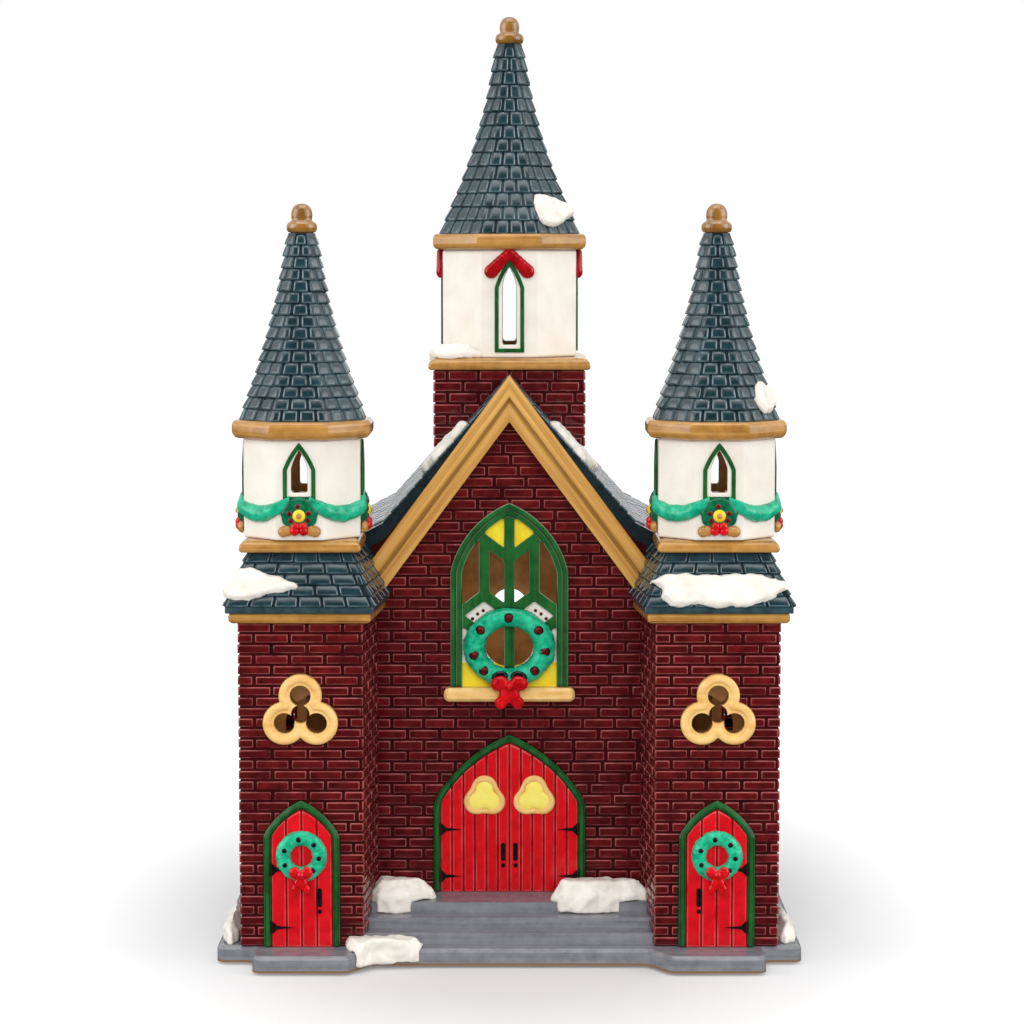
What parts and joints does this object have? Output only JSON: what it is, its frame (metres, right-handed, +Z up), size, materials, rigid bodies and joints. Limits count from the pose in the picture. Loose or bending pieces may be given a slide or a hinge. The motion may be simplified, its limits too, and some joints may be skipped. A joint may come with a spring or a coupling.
{
  "type": "ceramic village church",
  "caption": "Glazed ceramic village church with octagonal steeples, a gabled brick front between entrance towers, and a battery lamp under it that lights its windows.",
  "frame": {"origin": "on the table under the middle of the base's outline", "axes": "+X to the viewer's right, -Y towards the viewer at the front doors, +Z up"},
  "size_m": [0.236, 0.204, 0.3872],
  "materials": {
    "brick_glaze": "gloss",
    "slate_glaze": "gloss",
    "gold_glaze": "gloss",
    "white_glaze": "gloss",
    "green_glaze": "gloss",
    "red_glaze": "gloss",
    "yellow_glaze": "gloss",
    "wreath_glaze": "gloss",
    "black_glaze": "gloss",
    "grey_glaze": "gloss",
    "snow": "satin",
    "felt": "matt",
    "black_plastic": "satin",
    "grey_plastic": "satin",
    "board": "satin",
    "lamp": "gloss",
    "cell_wrap": "gloss",
    "contact": "satin"
  },
  "bodies": {
    "house": {"base_plinth": "grey_glaze", "base_snow": "snow", "battery_cells": "cell_wrap", "battery_contacts": "contact", "belfry_bows": "red_glaze", "belfry_cornice": "gold_glaze", "belfry_drum": "white_glaze", "belfry_finial": "gold_glaze", "belfry_ledge": "gold_glaze", "belfry_spire": "slate_glaze", "belfry_walls": "brick_glaze", "belfry_window_trims": "green_glaze", "door_ironwork": "black_glaze", "felt_pads": "felt", "gable_trim": "gold_glaze", "led_board": "board", "led_lamp": "lamp", "left_aisle_roof": "slate_glaze", "left_door": "red_glaze", "left_door_frame": "green_glaze", "left_tower_eave": "gold_glaze", "left_tower_skirt": "slate_glaze", "left_tower_walls": "brick_glaze", "left_turret_cornice": "gold_glaze", "left_turret_drum": "white_glaze", "left_turret_finial": "gold_glaze", "left_turret_garland": "wreath_glaze", "left_turret_ledge": "gold_glaze", "left_turret_spire": "slate_glaze", "light_tray": "black_plastic", "main_door_frame": "green_glaze", "main_door_trefoils": "yellow_glaze", "main_doors": "red_glaze", "nave_roof": "slate_glaze", "nave_walls": "brick_glaze", "right_aisle_roof": "slate_glaze", "right_door": "red_glaze", "right_door_frame": "green_glaze", "right_tower_eave": "gold_glaze", "right_tower_skirt": "slate_glaze", "right_tower_walls": "brick_glaze", "right_turret_cornice": "gold_glaze", "right_turret_drum": "white_glaze", "right_turret_finial": "gold_glaze", "right_turret_garland": "wreath_glaze", "right_turret_ledge": "gold_glaze", "right_turret_spire": "slate_glaze", "roof_snow": "snow", "side_door_bows": "red_glaze", "side_door_wreaths": "wreath_glaze", "tower_trefoils": "gold_glaze", "turret_window_trims": "green_glaze", "window_bow": "red_glaze", "window_panes": "yellow_glaze", "window_sill": "gold_glaze", "window_tracery": "green_glaze", "window_wreath": "wreath_glaze"},
    "battery_door": {"battery_door": "black_plastic"},
    "switch_knob": {"switch_knob": "grey_plastic"}
  },
  "joints": [
    {"name": "battery_door_hinge", "type": "hinge", "parent": "house", "child": "battery_door", "pos_m": [-0.0069, 0.05265, 0.0033], "axis": [1, 0, 0], "range_deg": [0, 95]},
    {"name": "switch_slide", "type": "slide", "parent": "house", "child": "switch_knob", "axis": [0, 1, 0], "range_m": [0, 0.004]}
  ]
}
